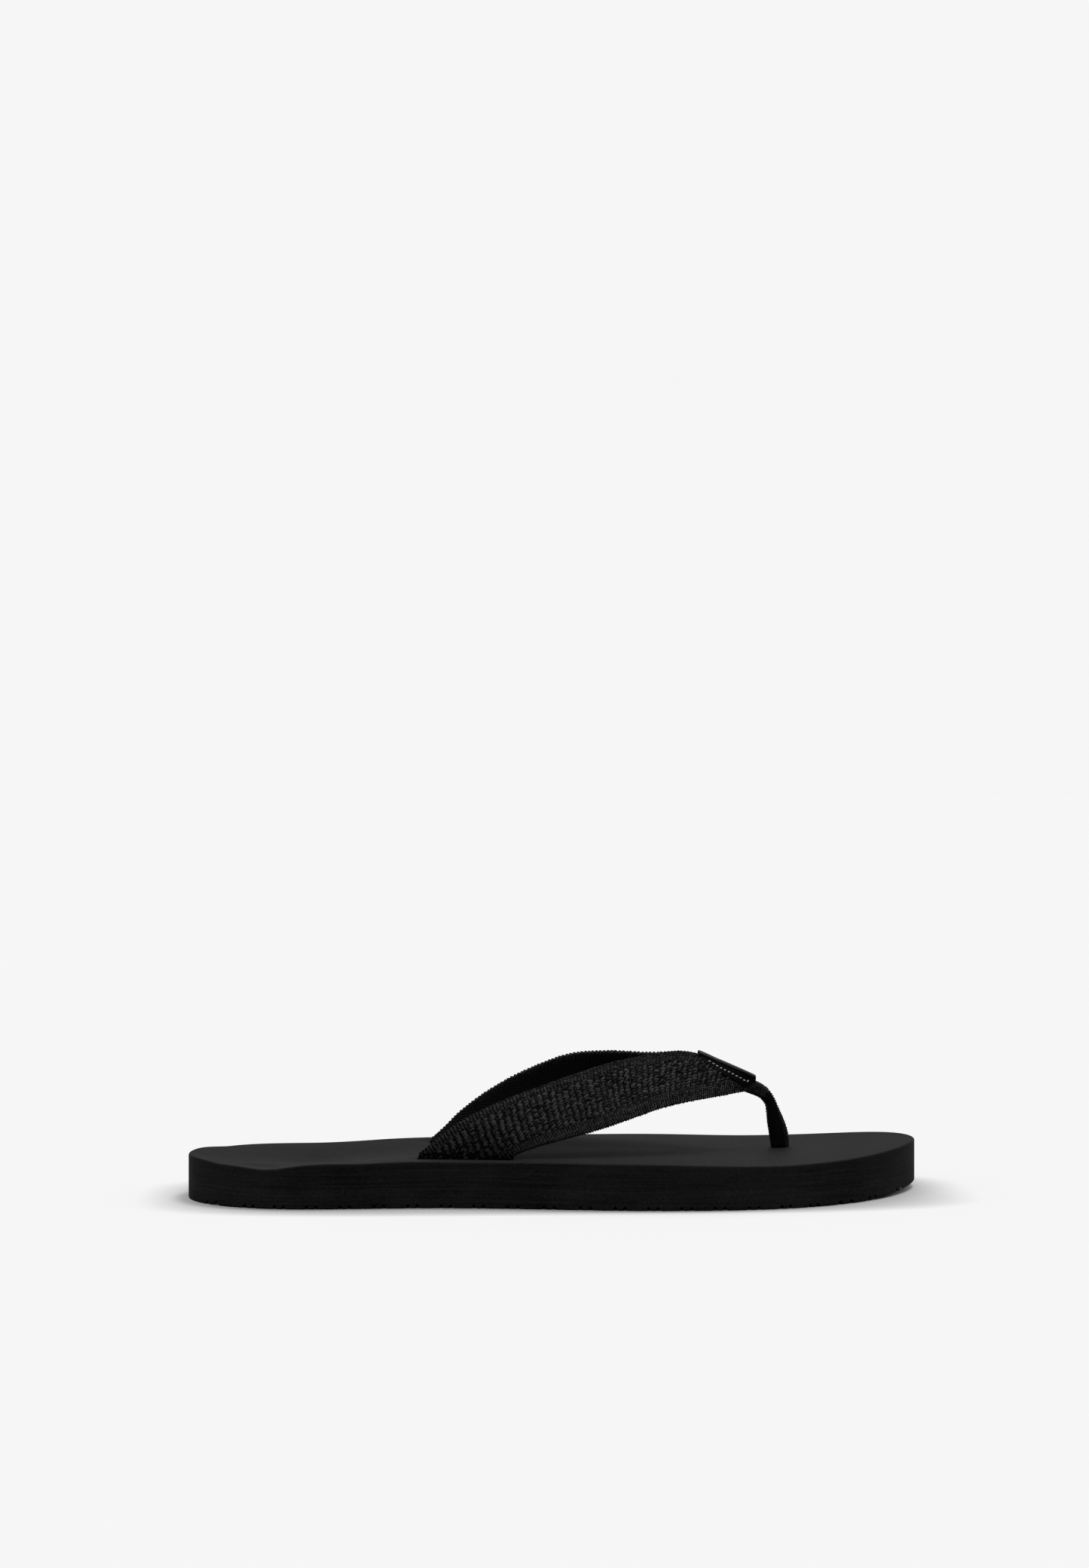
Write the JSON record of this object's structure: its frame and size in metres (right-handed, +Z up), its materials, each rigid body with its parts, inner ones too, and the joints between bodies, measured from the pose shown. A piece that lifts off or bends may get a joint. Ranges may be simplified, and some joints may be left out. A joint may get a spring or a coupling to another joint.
{
  "type": "flip flop",
  "caption": "Flip flop with a two-layer contoured foam sole, a wide woven webbing strap, a folded label and a webbing toe post.",
  "frame": {"origin": "centre of the footprint, on the ground", "axes": "+X towards the toe, +Y towards the inner side of the foot, +Z up"},
  "size_m": [0.282, 0.1058, 0.0557],
  "materials": {
    "outsole": "matte foam rubber",
    "footbed": "matte fine-grained foam",
    "webbing": "woven, soft sheen",
    "post_webbing": "woven, smooth",
    "anchor": "matte",
    "label": "satin weave"
  },
  "bodies": {
    "rear_sole": {"outsole_rear": "outsole", "footbed_rear": "footbed", "lateral_strap_tail": "webbing", "medial_strap_tail": "webbing"},
    "forefoot": {"outsole_front": "outsole", "footbed_front": "footbed", "toe_post_tail": "post_webbing", "toe_anchor": "anchor"},
    "yoke": {"lateral_strap": "webbing", "medial_strap": "webbing", "toe_post_tongue": "post_webbing", "strap_label": "label"},
    "post": {"toe_post": "post_webbing"}
  },
  "joints": [
    {"name": "ball_flex", "type": "hinge", "parent": "rear_sole", "child": "forefoot", "pos_m": [0.0515, 0, 0.017], "axis": [0, -1, 0], "range_deg": [0, 35], "stiffness_Nm_per_rad": 0.45},
    {"name": "yoke_lift", "type": "hinge", "parent": "rear_sole", "child": "yoke", "pos_m": [-0.0556, 0, 0.017], "axis": [0, -1, 0], "range_deg": [0, 10]},
    {"name": "toe_post_lean", "type": "hinge", "parent": "forefoot", "child": "post", "pos_m": [0.0877, 0.0143, 0.0198], "axis": [0, -1, 0], "range_deg": [-42, 0]}
  ],
  "couplings": [
    {"joint": "yoke_lift", "follows": "ball_flex", "ratio": 0.27},
    {"joint": "toe_post_lean", "follows": "ball_flex", "ratio": -1.17}
  ]
}
